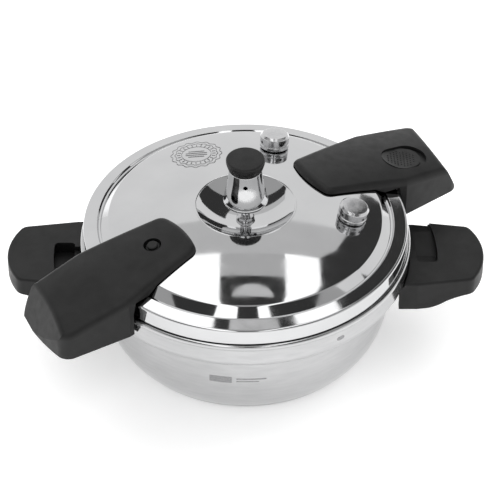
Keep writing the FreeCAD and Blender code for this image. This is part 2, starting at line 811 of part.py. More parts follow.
def lid_side_clearance():
    """The outline of the lid and the pot's rim, grown by the gap that a handle keeps from them."""
    gap = 0.5
    start = length(45)
    dome_end = size.dome_foot_radius + 0.6
    return [
        (start, 60),
        (size.rim_gap, 60),
        (size.rim_gap, size.rim_top - 6.1),
        (size.rim_gap - 2, size.rim_top + size.band_rise + 0.6),
        (99.8, size.rim_top + size.band_rise + 0.6),
        (dome_end + 4.6, size.rim_top + size.band_rise + 1.8),
        (dome_end, size.dome_foot_height + gap, size.dome_radius + gap),
        (start, dome_height(start) + gap),
    ]


def finish_float_handle(body):
    """The round sight hole over the float."""
    pocket(body, "float_sight_hole", [(0, 0, 6)], 0, 24, about_z(180) * FLOAT_FRAME
           * Placement(Vector(0, 0, 14), Rotation()))


def at_recess(lift):
    """A frame that lies along the sloping top at the thumb recess, raised by lift."""
    spot = Vector(size.slider_place.value, size.slider_offset.value, size.slider_height.value)
    slope = Rotation(Vector(0, 1, 0), size.slider_slope.value)
    return Placement(spot, slope) * Placement(Vector(0, 0, lift), Rotation())


def finish_lock_handle(body):
    """The oval thumb recess, the stem's slot and the bolt's slot through the key."""
    travel, bolt = size.slider_travel, size.bolt_offset
    pocket(body, "thumb_recess", slot_outline(length(0), length(0), length(17.3), length(12)), 0, 8.4,
           at_recess(6))
    pocket(body, "stem_slot", rectangle(stem_start() - 0.3, stem_start() + 6.3 + travel, bolt - 3.3, bolt + 3.3),
           100, 40)
    pocket(body, "bolt_slot", rectangle(size.key_start - 1, size.key_end + 1, bolt - 4.3, bolt + 4.3),
           size.bolt_foot + size.bolt_height + 0.2, 3)


def stem_start():
    """Inner face of the slider's stem."""
    return size.slider_place - 8.5


def make_lid_bracket(name, turn):
    """A forked steel bracket, welded to the lid's outer band, that carries a handle."""
    body = new_body(name)
    end = size.lid_screw_place + 6
    foot = size.rim_top + 0.9
    pad(body, name + "_plate", rectangle(104, end, -size.tongue_half, size.tongue_half), foot, 1.6)
    rounded(body, name + "_corners", 4, upright_at([(end.value, size.tongue_half.value)]))
    pocket(body, name + "_fork", rectangle(112, end + 1, -8.5, 8.5), foot + 3, 4)
    for side in (-1, 1):
        spot = size.lid_screw_spread * side
        pocket(body, f"{name}_thread_{side + 1}", [(size.lid_screw_place, spot, 2.05)], foot + 3, 4)
    body.Placement = LID_PLACE * about_z(turn)
    return body


# ---- the vent and its weight ----

def hexagon(half_flats):
    """A hexagon with flats square to Y."""
    half_flats = length(half_flats)
    corner = half_flats / math.cos(math.radians(30))
    turns = [Length(60 * index) for index in range(6)]
    return [(corner * math.cos(math.radians(turn.value)), corner * math.sin(math.radians(turn.value)))
            for turn in turns]


def make_nut(name, half_flats, bottom, height, bore, place):
    body = new_body(name)
    pad(body, name + "_hex", hexagon(half_flats), bottom, height)
    pocket(body, name + "_bore", [(0, 0, bore)], length(bottom) + height + 1, length(height) + 2)
    body.Placement = place
    return body


def make_washer(name, inner, outer, bottom, height, place):
    body = turned(name, rectangle(inner, outer, bottom, length(bottom) + height))
    body.Placement = place
    return body


def make_vent():
    """The vent pipe with its flange in the dish, and the washer, nut and filter under the lid."""
    pipe = size.pipe_radius
    dish_floor = size.dish_rim_height - size.dish_depth
    under = dish_floor - size.wall
    low = size.pipe_foot
    body = turned("vent_pipe", [
        (1.2, low), (pipe, low), (pipe, dish_floor + 0.5), (6, dish_floor + 0.5), (6, dish_floor + 2),
        (5, dish_floor + 2.6), (pipe, dish_floor + 2.6), (pipe, size.pipe_top - 1.2), (1.9, size.pipe_top),
        (1.2, size.pipe_top),
    ])
    body.Placement = LID_PLACE
    make_washer("vent_washer", pipe + 0.1, 8, under - 1.6, 1.5, LID_PLACE)
    make_nut("vent_nut", 6.5, under - 4.7, 3, pipe + 0.05, LID_PLACE)
    make_filter(low)


def make_filter(low):
    """A slotted cup pressed on the pipe's lower end, which keeps food out of the pipe."""
    pipe = size.pipe_radius
    body = turned("vent_filter", [
        (0, low - 4), (6.5, low - 4), (6.5, low + 2.4), (pipe + 0.05, low + 2.4), (pipe + 0.05, low + 1.4),
        (5.7, low + 1.4), (5.7, low - 3.2), (0, low - 3.2),
    ])
    slit = pocket(body, "filter_slit", rectangle(4.8, 7.5, -0.6, 0.6), low + 0.6, 3)
    around(body, "filter_slits", slit, 8)
    body.Placement = LID_PLACE


def make_weight():
    """The regulating weight: a polished barrel, a needle inside it and a black cap on top."""
    foot, top, joint, bore = size.weight_foot, size.weight_top, size.weight_joint, size.weight_bore
    chamber = size.pipe_top + 9
    body = turned("weight_body", [
        (bore, foot),
        (bore + 0.5, foot),
        (bore + 0.5, foot + 2),
        (14.3, foot + 8.9, 1.6),
        (14.8, foot + 11.2, 120),
        (13.4, foot + 19.4, -160),
        (11.9, foot + 27.2, -160),
        (11, joint),
        (7, joint),
        (7, chamber),
        (bore, chamber),
    ])
    steam_holes(body, "steam_hole", -90, 131.3, 1.5, 4)
    steam_holes(body, "lower_steam_hole", -129, 122.3, 1.5, 3)
    rim = size.weight_cap_radius
    turned("weight_cap", [
        (0, joint - 4.5),
        (6.9, joint - 4.5),
        (6.9, joint),
        (11.2, joint, 40),
        (rim, top - 3),
        (rim, top - 1.2, 1.2),
        (rim - 1.2, top),
        (0, top),
    ])
    turned("weight_needle", [
        (0, size.pipe_top + 0.1),
        (0.9, size.pipe_top + 0.1),
        (2.6, size.pipe_top + 2.4),
        (2.6, chamber),
        (6.4, chamber),
        (6.4, chamber + 2),
        (0, chamber + 2),
    ])


def steam_holes(body, name, angle, height, radius, count):
    """Radial holes from the barrel's outside into its bore."""
    outward = Placement(Vector(0, 0, height), Rotation(Vector(0, 1, 0), 90))
    frame = about_z(angle) * outward * Placement(Vector(0, 0, 18), Rotation())
    hole = pocket(body, name, [(0, 0, radius)], 0, 14.5, frame)
    around(body, name + "s", hole, count)


# ---- the valves in the dome ----

def make_safety_valve(name, frame):
    """A spring-loaded safety valve: seat, washer, plunger, spring and a drilled cap."""
    place = LID_PLACE * frame
    wall = size.wall
    seat = size.seat_radius
    under = -wall
    pieces = [
        turned(f"valve_seat_{name}", [
            (2, under - 3), (7.5, under - 3), (7.5, under - 1.2), (seat, under - 1.2), (seat, 3),
            (3.7, 3), (3.7, -1.4), (2, -1.4),
        ]),
        turned(f"valve_plunger_{name}", [
            (0, -1.35), (3.3, -1.35), (3.3, 0.6), (1.5, 0.6), (1.5, 5.6), (0, 5.6),
        ]),
        make_valve_cap(f"valve_cap_{name}"),
        make_spring(f"valve_spring_{name}", 2.4, 0.35, 0.98, 7.55),
    ]
    for body in pieces:
        body.Placement = place
    make_washer(f"valve_washer_{name}", seat + 0.1, 7.4, under - 1.15, 0.95, place)


def make_valve_cap(name):
    """A round cap on the seat's thread, with a hole for steam on four sides."""
    outer, high = size.valve_cap_radius, size.valve_cap_height
    body = turned(name, [
        (size.seat_radius + 0.03, 0.4),
        (outer - 0.5, 0.4),
        (outer, 0.9),
        (outer, 3.0),
        (outer - 0.4, 3.3),
        (outer - 0.4, 3.7),
        (outer, 4.0),
        (outer, high - 0.8, 0.8),
        (outer - 0.8, high),
        (0, high),
        (0, high - 2.2),
        (7.6, high - 2.2),
        (7.6, 3.1),
        (size.seat_radius + 0.03, 3.1),
    ])
    frame = Placement(Vector(0, 0, 5.6), Rotation(Vector(0, 1, 0), 90)) * Placement(Vector(0, 0, 12), Rotation())
    hole = pocket(body, name + "_hole", [(0, 0, 1)], 0, 6, about_z(45) * frame)
    around(body, name + "_holes", hole, 4)
    return body


def make_spring(name, coil, wire, bottom, height):
    """A compression spring as a true helix."""
    body = new_body(name)
    sketch = new_sketch(body, name + "_wire", "XZ_Plane")
    draw_circle(sketch, coil, bottom, wire)
    helix = body.newObject("PartDesign::AdditiveHelix", name + "_coil")
    helix.Profile = sketch
    helix.ReferenceAxis = (sketch, ["V_Axis"])
    helix.Mode = "height-turns-angle"
    helix.Height = height - 2 * wire - 0.4
    helix.Turns = 5
    return body


def make_float_valve():
    """The pressure float: a guide and its nut in the dome, and the pin that rises through them."""
    place = LID_PLACE * FLOAT_FRAME
    under = -size.wall.value
    guide = turned("float_guide", [
        (2.4, under - 4.6), (3.5, under - 4.6), (3.5, 0.2), (5.2, 0.2), (5.2, 2.4), (4.4, 3.2), (2.4, 3.2),
    ])
    guide.Placement = place
    make_nut("float_nut", 5.5, under - 3.2, 3, 3.55, place)
    pin_body = turned("float_pin", [
        (0, -11.6), (4.6, -11.6), (4.6, -10.8), (2.3, -10.8), (2.3, 3.5), (3.6, 3.5), (3.6, 4.3, 0.8),
        (2.8, 5.1), (0, 5.1),
    ])
    pin_body.Placement = place
    make_washer("float_seal", 2.35, 4.4, -10.75, 0.9, place)


def make_lock():
    """The thumb slider with its stem, and the steel bolt on the stem's lower end."""
    place = LID_PLACE
    bolt_side = size.bolt_offset
    slider = new_body("lock_slider")
    pad(slider, "slider_plate", slot_outline(length(-2.6), length(0), length(14.4), length(11.6)), 0, 3.2,
        at_recess(-2.05))
    pad(slider, "slider_stem", rectangle(stem_start(), stem_start() + 6, bolt_side - 3, bolt_side + 3),
        size.bolt_foot + size.bolt_height, 35)
    dish_spot = Vector(size.slider_place.value - 2.5, size.slider_height.value + 0.5, 0)
    dish_frame = Placement(dish_spot, Rotation(Vector(0, 0, 1), -size.slider_slope.value))
    sketch = new_sketch(slider, "slider_dish_profile", "XZ_Plane", frame=dish_frame)
    draw(sketch, [(-16, 0.5, 75), (16, 0.5), (16, 6), (-16, 6)])
    dish = slider.newObject("PartDesign::Pocket", "slider_dish")
    dish.Profile = sketch
    dish.SideType = "Symmetric"
    dish.Length = 60
    slider.Placement = place
    bolt = new_body("lock_bolt")
    pad(bolt, "bolt_bar", rectangle(size.key_start + 0.3, size.key_end - 0.5, bolt_side - 4, bolt_side + 4),
        size.bolt_foot, size.bolt_height)
    bolt.Placement = place


def make_everything():
    make_pot_body()
    make_base()
    for name, turn in (("right", 0), ("left", 180)):
        make_pot_handle(f"pot_handle_{name}", turn)
        make_pot_bracket(f"pot_bracket_{name}", turn)
    pot_spot = Vector(size.pot_screw_place.value, 0, 0)
    make_screws("pot_handle_screws", [(about_z(turn), pot_spot) for turn in (0, 180)],
                size.pot_handle_foot + 0.7, 2, 8)
    make_sealing_ring()
    make_lid_shell()
    finish_lock_handle(make_lid_handle("lid_handle_lock", 0))
    finish_float_handle(make_lid_handle("lid_handle_float", 180))
    lid_places = []
    for name, turn in (("lock", 0), ("float", 180)):
        make_lid_bracket(f"lid_bracket_{name}", turn)
        for side in (-1, 1):
            spot = Vector(size.lid_screw_place.value, size.lid_screw_spread.value * side, 0)
            lid_places.append((LID_PLACE * about_z(turn), spot))
    make_screws("lid_handle_screws", lid_places, size.lid_handle_foot + 6.9, 2, 17.5)
    make_vent()
    make_weight()
    for name, frame in VALVES.items():
        make_safety_valve(name, frame)
    make_float_valve()
    make_lock()


def check_everything():
    """Stop on any failed object, any cut that removes nothing, and any piece that isn't one valid shape."""
    document.recompute()
    problems = []
    for thing in document.Objects:
        if "Invalid" in thing.State or "Error" in thing.State:
            problems.append(f"{thing.Name}: {thing.State}")
            continue
        if thing.TypeId in ("PartDesign::Pocket", "PartDesign::Groove"):
            if thing.BaseFeature.Shape.Volume - thing.Shape.Volume < 0.01:
                problems.append(f"{thing.Name} removes nothing")
    for piece in parts:
        if piece.Shape.isNull() or not piece.Shape.isValid():
            problems.append(f"{piece.Label} has no valid shape")
    if problems:
        raise SystemExit("\n".join(problems))


def write_parts():
    os.makedirs("parts", exist_ok=True)
    for piece in parts:
        piece.Shape.exportStep(f"parts/{piece.Label}.step")
        print(f"{piece.Label}: {len(piece.Shape.Solids)} solid, {piece.Shape.Volume:.0f} mm3")


make_everything()
check_everything()
write_parts()
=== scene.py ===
import json
import math

import bmesh
import bpy
from mathutils import Matrix, Vector


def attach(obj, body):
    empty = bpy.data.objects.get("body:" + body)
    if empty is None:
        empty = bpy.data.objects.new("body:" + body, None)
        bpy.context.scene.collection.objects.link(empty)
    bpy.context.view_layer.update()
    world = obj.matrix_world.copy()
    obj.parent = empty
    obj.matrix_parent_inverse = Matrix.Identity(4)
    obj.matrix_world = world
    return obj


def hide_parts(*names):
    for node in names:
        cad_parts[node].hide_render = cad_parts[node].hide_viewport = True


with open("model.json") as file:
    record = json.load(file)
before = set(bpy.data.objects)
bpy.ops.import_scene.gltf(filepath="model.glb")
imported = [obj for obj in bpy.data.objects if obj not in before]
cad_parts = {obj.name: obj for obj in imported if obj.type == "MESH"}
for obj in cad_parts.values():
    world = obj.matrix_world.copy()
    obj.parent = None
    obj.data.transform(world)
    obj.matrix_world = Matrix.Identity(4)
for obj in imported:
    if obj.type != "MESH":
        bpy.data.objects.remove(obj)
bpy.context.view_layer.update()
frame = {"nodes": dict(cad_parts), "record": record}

# Lengths are in metres. Outlines are written in millimetres, as (radius, height) or, where an arc
# leaves the corner, (radius, height, arc radius); an arc radius above zero turns left.
MM = 0.001
SEGMENTS = 192
LID_TURN = math.radians(34)
DOME_RADIUS = 367.0
DOME_FOOT = (92.0, 98.7)
COLLAR_RADIUS = 111.2
VALVE_ANGLES = (("back", 40), ("front", -40))
VALVE_RADIUS = 71.5


# ---- mesh tools ----

def arc_points(start, end, radius, step=math.radians(4)):
    """Points after start, up to and with end, along the shorter arc."""
    chord = end - start
    half = chord.length / 2
    left = Vector((-chord.y, chord.x)).normalized()
    reach = math.sqrt(max(radius ** 2 - half ** 2, 0))
    centre = (start + end) / 2 + left * math.copysign(reach, radius)
    first = math.atan2(start.y - centre.y, start.x - centre.x)
    sweep = 2 * math.asin(min(half / abs(radius), 1)) * math.copysign(1, radius)
    count = max(3, math.ceil(abs(sweep) / step), math.ceil(abs(sweep * radius) / 4))
    size = abs(radius)
    return [centre + size * Vector((math.cos(first + sweep * index / count),
                                    math.sin(first + sweep * index / count)))
            for index in range(1, count + 1)]


def outline(corners, ease=0.18):
    """The outline's points: arcs are divided and every crisp corner is eased a little."""
    points = []
    for corner, following in zip(corners, corners[1:] + corners[:1]):
        start, end = Vector(corner[:2]), Vector(following[:2])
        points.append(start)
        if len(corner) == 3:
            points.extend(arc_points(start, end, corner[2])[:-1])
    eased = []
    for index, point in enumerate(points):
        before = points[index - 1]
        after = points[(index + 1) % len(points)]
        inward, outward = point - before, after - point
        if inward.length < 1e-6 or outward.length < 1e-6 or inward.angle(outward) < math.radians(14):
            eased.append(point)
            continue
        cut = min(ease, inward.length * 0.3, outward.length * 0.3)
        first = point - inward.normalized() * cut
        last = point + outward.normalized() * cut
        for part in (0, 0.25, 0.5, 0.75, 1):
            eased.append(first * (1 - part) ** 2 + point * 2 * part * (1 - part) + last * part ** 2)
    return supported(eased)


def supported(points, near=0.12):
    """Extra points beside the corners of long straight stretches, so that flat faces shade flat."""
    result = []
    count = len(points)
    for index, point in enumerate(points):
        result.append(point)
        before, following, beyond = (points[(index + step) % count] for step in (-1, 1, 2))
        stretch = following - point
        if stretch.length <= near * 5:
            continue
        if (point - before).angle(stretch, 0) > math.radians(6):
            result.append(point + stretch.normalized() * near)
        if stretch.angle(beyond - following, 0) > math.radians(6):
            result.append(following - stretch.normalized() * near)
    return result


def new_object(name, mesh_builder):
    mesh = bpy.data.meshes.new(name)
    mesh_builder.to_mesh(mesh)
    mesh_builder.free()
    piece = bpy.data.objects.new(name, mesh)
    bpy.context.scene.collection.objects.link(piece)
    return piece


def smooth(piece, angle=35):
    """Smooth shading with edges sharper than the angle kept crisp."""
    mesh = piece.data
    mesh.polygons.foreach_set("use_smooth", [True] * len(mesh.polygons))
    mesh.set_sharp_from_angle(angle=math.radians(angle))
    mesh.update()


def add_turned(builder, points, segments=SEGMENTS):
    """Turn closed (radius, height) points, in millimetres, about Z into the mesh being built."""
    rings = []
    for point in points:
        radius = max(point.x, 0) * MM
        if radius < 1e-7:
            rings.append([builder.verts.new((0, 0, point.y * MM))])
            continue
        rings.append([builder.verts.new((radius * math.cos(turn), radius * math.sin(turn), point.y * MM))
                      for turn in (math.tau * index / segments for index in range(segments))])
    for index, ring in enumerate(rings):
        following = rings[(index + 1) % len(rings)]
        if len(ring) == 1 and len(following) == 1:
            continue
        for place in range(segments):
            beyond = (place + 1) % segments
            if len(ring) == 1:
                corners = [ring[0], following[beyond], following[place]]
            elif len(following) == 1:
                corners = [ring[place], ring[beyond], following[0]]
            else:
                corners = [ring[place], ring[beyond], following[beyond], following[place]]
            builder.faces.new(corners)


def add_sector(builder, inner, outer, low, high, middle, half, steps=14):
    """A ring sector with eased long edges, in millimetres and radians."""
    section = outline([(inner, low), (outer, low), (outer, high), (inner, high)], ease=0.25)
    slices = []
    for index in range(steps + 1):
        turn = middle - half + 2 * half * index / steps
        slices.append([builder.verts.new((point.x * MM * math.cos(turn), point.x * MM * math.sin(turn),
                                          point.y * MM)) for point in section])
    count = len(section)
    for first, second in zip(slices, slices[1:]):
        for place in range(count):
            beyond = (place + 1) % count
            builder.faces.new([first[place], first[beyond], second[beyond], second[place]])
    builder.faces.new(list(reversed(slices[0])))
    builder.faces.new(slices[-1])


def tidy_normals(builder):
    bmesh.ops.recalc_face_normals(builder, faces=builder.faces)


def turned(name, corners, segments=SEGMENTS, ease=0.18, extras=()):
    """A turned piece; extras are functions that add more to its mesh."""
    builder = bmesh.new()
    add_turned(builder, outline(corners, ease), segments)
    for extra in extras:
        extra(builder)
    tidy_normals(builder)
    piece = new_object(name, builder)
    smooth(piece)
    return piece


def finish_piece(piece, body, look, slot_name, *nodes):
    """Give a piece its material and its body, and hide the CAD nodes that it stands for."""
    piece.data.materials.clear()
    piece.data.materials.append(look)
    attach(piece, body)
    if nodes:
        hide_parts(*nodes)
    return piece


# ---- materials ----

class Look:
    """A node material being built around one Principled shader."""

    def __init__(self, name, **sockets):
        self.material = bpy.data.materials.new(name)
        self.material.use_nodes = True
        self.nodes = self.material.node_tree.nodes
        self.links = self.material.node_tree.links
        self.shader = self.nodes["Principled BSDF"]
        for socket, value in sockets.items():
            self.shader.inputs[socket.replace("_", " ")].default_value = value
        self.place = self.nodes.new("ShaderNodeTexCoord").outputs["Object"]

    def noise(self, scale, detail=3.0, stretch=(1, 1, 1), distortion=0.0):
        mapping = self.nodes.new("ShaderNodeMapping")
        mapping.inputs["Scale"].default_value = stretch
        self.links.new(self.place, mapping.inputs["Vector"])
        texture = self.nodes.new("ShaderNodeTexNoise")
        texture.inputs["Scale"].default_value = scale
        texture.inputs["Detail"].default_value = detail
        texture.inputs["Distortion"].default_value = distortion
        self.links.new(mapping.outputs["Vector"], texture.inputs["Vector"])
        return texture.outputs["Fac"]

    def rings(self, scale, distortion=0.6):
        """Fine marks that run round Z, as polishing and turning leave."""
        texture = self.nodes.new("ShaderNodeTexWave")
        texture.wave_type = "RINGS"
        texture.rings_direction = "Z"
        texture.inputs["Scale"].default_value = scale
        texture.inputs["Distortion"].default_value = distortion
        texture.inputs["Detail"].default_value = 3.0
        self.links.new(self.place, texture.inputs["Vector"])
        return texture.outputs["Fac"]

    def spread(self, source, low, high, start=0.3, end=0.7):
        """Map a texture's value to a range of numbers."""
        node = self.nodes.new("ShaderNodeMapRange")
        node.inputs["From Min"].default_value = start
        node.inputs["From Max"].default_value = end
        node.inputs["To Min"].default_value = low
        node.inputs["To Max"].default_value = high
        self.links.new(source, node.inputs["Value"])
        return node.outputs["Result"]

    def tones(self, source, dark, light, start=0.3, end=0.7):
        """Map a texture's value to a range of colours."""
        node = self.nodes.new("ShaderNodeValToRGB")
        low, high = node.color_ramp.elements
        low.position, high.position = start, end
        low.color, high.color = (*dark, 1), (*light, 1)
        self.links.new(source, node.inputs["Fac"])
        return node.outputs["Color"]

    def feed(self, socket, source):
        self.links.new(source, self.shader.inputs[socket])

    def bumps(self, *layers):
        """Stack bump layers, each (height, strength, distance in metres)."""
        below = None
        for height, strength, distance in layers:
            node = self.nodes.new("ShaderNodeBump")
            node.inputs["Strength"].default_value = strength
            node.inputs["Distance"].default_value = distance
            self.links.new(height, node.inputs["Height"])
            if below is not None:
                self.links.new(below, node.inputs["Normal"])
            below = node.outputs["Normal"]
        self.feed("Normal", below)


def polished_steel():
    """Mirror-polished stainless steel with faint wipe marks and the waviness of spun sheet."""
    look = Look("polished_steel", Metallic=1.0)
    look.feed("Base Color", look.tones(look.noise(38, 4), (0.56, 0.562, 0.568), (0.595, 0.597, 0.602)))
    look.feed("Roughness", look.spread(look.noise(75, 6, distortion=0.6), 0.035, 0.085))
    look.bumps((look.noise(22, 2), 0.03, 0.0004), (look.noise(9, 2), 0.03, 0.0006))
    return look.material


def brushed_steel():
    """The pot's drawn steel: duller than the lid, with fine marks that run round it."""
    look = Look("brushed_steel", Metallic=1.0)
    clouds = look.noise(60, 5, (1, 1, 6))
    look.feed("Base Color", look.tones(clouds, (0.485, 0.487, 0.492), (0.535, 0.536, 0.54)))
    look.feed("Roughness", look.spread(look.noise(150, 6, (1, 1, 12)), 0.11, 0.17))
    look.bumps((look.noise(22, 2), 0.03, 0.0004), (look.noise(260, 4, (1, 1, 20)), 0.03, 0.00008))
    return look.material


def satin_steel():
    """Turned or pressed steel with fine marks."""
    look = Look("satin_steel", Metallic=1.0)
    look.feed("Base Color", look.tones(look.noise(120, 4), (0.5, 0.5, 0.51), (0.6, 0.6, 0.605)))
    look.feed("Roughness", look.spread(look.noise(400, 5), 0.14, 0.26))
    look.bumps((look.rings(420, 1.0), 0.1, 0.0001))
    return look.material


def aluminium():
    look = Look("aluminium_core", Metallic=1.0)
    look.feed("Base Color", look.tones(look.noise(90, 4), (0.72, 0.72, 0.73), (0.8, 0.8, 0.81)))
    look.feed("Roughness", look.spread(look.noise(300, 5), 0.35, 0.5))
    look.bumps((look.noise(900, 3), 0.1, 0.0001))
    return look.material


def black_bakelite(name, tone=1.0):
    """Satin black phenolic: fine moulded grain, faint flow marks and slight dusting."""
    look = Look(name, IOR=1.5, Specular_IOR_Level=0.28)
    dark, light = (0.006 * tone,) * 3, (0.011 * tone,) * 3
    look.feed("Base Color", look.tones(look.noise(55, 6, distortion=0.4), dark, light))
    look.feed("Roughness", look.spread(look.noise(160, 5), 0.4, 0.52))
    look.bumps((look.noise(1500, 2), 0.22, 0.00012), (look.noise(60, 2), 0.05, 0.0004))
    return look.material


def silicone():
    look = Look("grey_silicone", IOR=1.41, Subsurface_Weight=0.15, Subsurface_Scale=0.002)
    look.feed("Base Color", look.tones(look.noise(70, 4), (0.5, 0.5, 0.48), (0.6, 0.6, 0.57)))
    look.feed("Roughness", look.spread(look.noise(250, 4), 0.42, 0.55))
    look.bumps((look.noise(700, 3), 0.1, 0.0001))
    return look.material


def spring_wire():
    look = Look("spring_steel", Metallic=1.0)
    look.feed("Base Color", look.tones(look.noise(300, 4), (0.38, 0.38, 0.39), (0.5, 0.5, 0.5)))
    look.feed("Roughness", look.spread(look.noise(500, 4), 0.25, 0.4))
    look.bumps((look.noise(900, 2), 0.1, 0.00005))
    return look.material


def etched_steel():
    """Laser marking: a grey matt film on the polished sheet."""
    look = Look("etched_steel", Metallic=1.0)
    look.feed("Base Color", look.tones(look.noise(900, 4), (0.26, 0.26, 0.265), (0.36, 0.36, 0.365)))
    look.feed("Roughness", look.spread(look.noise(1200, 4), 0.4, 0.55))
    return look.material


STEEL = polished_steel()
BRUSHED = brushed_steel()
SATIN = satin_steel()
BLACK = black_bakelite("black_bakelite")
SLIDER_BLACK = black_bakelite("black_slider", 1.35)
CAP_BLACK = black_bakelite("black_cap", 1.15)
SILICONE = silicone()
ETCHED = etched_steel()

LOOKS = {
    "polished_steel": STEEL,
    "satin_steel": SATIN,
    "aluminium_core": aluminium(),
    "black_bakelite": BLACK,
    "black_slider": SLIDER_BLACK,
    "black_cap": CAP_BLACK,
    "grey_silicone": SILICONE,
    "spring_steel": spring_wire(),
}


def dress_cad_nodes():
    """Each CAD node takes the look of its material slot."""
    for part in frame["record"]["subparts"]:
        node = frame["nodes"][part["node"]]
        look = LOOKS[part["material_slot"]]
        if not node.data.materials:
            node.data.materials.append(look)
        for slot in node.material_slots:
            slot.material = look


# ---- turned steel pieces ----

def dome_height(radius):
    """Height of the lid's outer surface on the dome, in millimetres."""
    foot_radius, foot_height = DOME_FOOT
    centre = foot_height - math.sqrt(DOME_RADIUS ** 2 - foot_radius ** 2)
    return centre + math.sqrt(DOME_RADIUS ** 2 - radius ** 2)


def lugs(inner, outer, low, high, middle, half):
    """Six lugs as a function that adds them to a mesh."""
    def add(builder):
        for index in range(6):
            turn = math.radians(middle + 60 * index)
            add_sector(builder, inner, outer, low, high, turn, math.radians(half))
    return add


def lid_skin():
    """The lid: dish, crisp ring, dome, steep shoulder, groove, sloping band and skirt."""
    wall = 1.2
    return turned("lid_skin", [
        (3.0, 96.09, 51.4),
        (33.0, 108.02, -1.3),
        (34.4, 108.42, -DOME_RADIUS),
        (91.34, 98.87, -2.6),
        (92.49, 98.22),
        (97.9, 93.0),
        (99.0, 93.0),
        (100.0, 94.0),
        (107.9, 92.3, -1.6),
        (109.5, 90.7),
        (109.5, 81.3),
        (108.3, 81.3),
        (108.3, 91.1),
        (99.6, 92.8),
        (98.6, 91.8),
        (97.2, 91.8),
        (91.1, dome_height(91.1) - wall, DOME_RADIUS - wall),
        (34.6, dome_height(34.6) - wall, -52.6),
        (3.0, 94.89),
    ], extras=[lugs(103, 108.6, 84.4, 85.6, 30, 14)])


def pot_skin():
    """The pot: rounded bottom, straight wall, step, collar, rolled bead, neck and mouth with its lugs."""
    return turned("pot_skin", [
        (0, 4.5),
        (83.01, 4.5, 8),
        (89.57, 7.93, 50),
        (96.99, 24.1, 80),
        (99.5, 44),
        (99.5, 57, -4.93),
        (105.35, 61.85, 4.93),
        (111.2, 66.7),
        (111.2, 76.9, 2.2),
        (110.1, 80.6),
        (101.5, 80.6),
        (101.5, 86.4),
        (102.5, 86.4),
        (102.5, 87.6),
        (100.3, 87.6),
        (100.3, 79.4),
        (110.0, 79.4),
        (110.0, 66.7, -3.73),
        (105.57, 63.03, 6.13),
        (98.3, 57),
        (98.3, 44, -78.8),
        (95.83, 24.4, -48.8),
        (88.6, 8.64, -6.8),
        (83.01, 5.7),
        (0, 5.7),
    ], extras=[lugs(101.4, 107.3, 86.4, 87.6, 0, 13)])


def base_skin():
    """The steel cap that wraps the core under the pot, with its turned-up edge."""
    return turned("base_skin", [
        (0, 0),
        (81.8, 0, 2.4),
        (83.84, 1.2, 50),
        (88.4, 6.4),
        (88.18, 6.4, -8),
        (83.01, 4.5),
        (80.1, 4.5),
        (80.1, 0.8),
        (0, 0.8),
    ], ease=0.3)


def drilled(piece, tools):
    """Cut holes with the tools, keep the result as plain mesh and remove the tools."""
    for tool in tools:
        cut = piece.modifiers.new("hole", "BOOLEAN")
        cut.operation = "DIFFERENCE"
        cut.solver = "EXACT"
        cut.object = tool
    bpy.context.view_layer.update()
    cutting = bpy.context.evaluated_depsgraph_get()
    mesh = bpy.data.meshes.new_from_object(piece.evaluated_get(cutting))
    piece.modifiers.clear()
    piece.data = mesh
    for tool in tools:
        bpy.data.objects.remove(tool)
    smooth(piece, 30)
    return piece


def drill(radius, start, end):
    """A cylinder from start to end, in metres, that drilled() cuts with."""
    builder = bmesh.new()
    bmesh.ops.create_cone(builder, cap_ends=True, segments=28, radius1=radius, radius2=radius,
                          depth=(end - start).length)
    tool = new_object("drill", builder)
    lean = (end - start).to_track_quat("Z", "Y").to_matrix().to_4x4()
    tool.matrix_world = Matrix.Translation((start + end) / 2) @ lean
    return tool


def radial_drills(radius, inner, outer, height, first, count):
    """Drills pointing outwards from Z; lengths in millimetres, the first angle in degrees."""
    tools = []
    for index in range(count):
        turn = math.radians(first) + math.tau * index / count
        away = Vector((math.cos(turn), math.sin(turn), 0))
        lift = Vector((0, 0, height * MM))
        tools.append(drill(radius * MM, away * inner * MM + lift, away * outer * MM + lift))
    return tools


def weight_skin():
    """The regulating weight's polished barrel with its steam holes."""
    piece = turned("weight_skin", [
        (4.2, 102.8),
        (4.7, 102.8),
        (4.7, 104.8),
        (14.3, 111.7, 1.6),
        (14.8, 114.0, 120),
        (13.4, 122.2, -160),
        (11.9, 130.0, -160),
        (11.0, 138.4),
        (7.0, 138.4),
        (7.0, 127.0),
        (4.2, 127.0),
    ], segments=128, ease=0.3)
    holes = radial_drills(1.5, 3.0, 18, 131.3, -90, 4) + radial_drills(1.5, 3.0, 18, 122.3, -129, 3)
    return drilled(piece, holes)


def weight_cap_skin():
    """The weight's black cap: a soft-edged disc that narrows towards the barrel."""
    return turned("weight_cap_skin", [
        (0, 133.9),
        (6.9, 133.9),
        (6.9, 138.4),
        (10.9, 138.4),
        (11.2, 138.7, 40),
        (12.9, 144.2, 30),
        (13.0, 145.9, 1.4),
        (11.6, 147.2, 260),
        (0, 147.5),
    ], segments=128, ease=0.4)


def valve_cap_skin(name, place):
    """A safety valve's steel cap with a waist groove, a bevelled top and four steam holes."""
    piece = turned(name, [
        (5.03, 0.4),
        (9.4, 0.4),
        (10.0, 0.9),
        (10.0, 3.0),
        (9.6, 3.25),
        (9.6, 3.75),
        (10.0, 4.0),
        (10.0, 8.8),
        (8.5, 10.3, 90),
        (0, 10.5),
        (0, 8.3),
        (7.6, 8.3),
        (7.6, 3.1),
        (5.03, 3.1),
    ], segments=96, ease=0.2)
    drilled(piece, radial_drills(1.0, 6, 12, 5.6, 45, 4))
    piece.data.transform(place)
    return piece


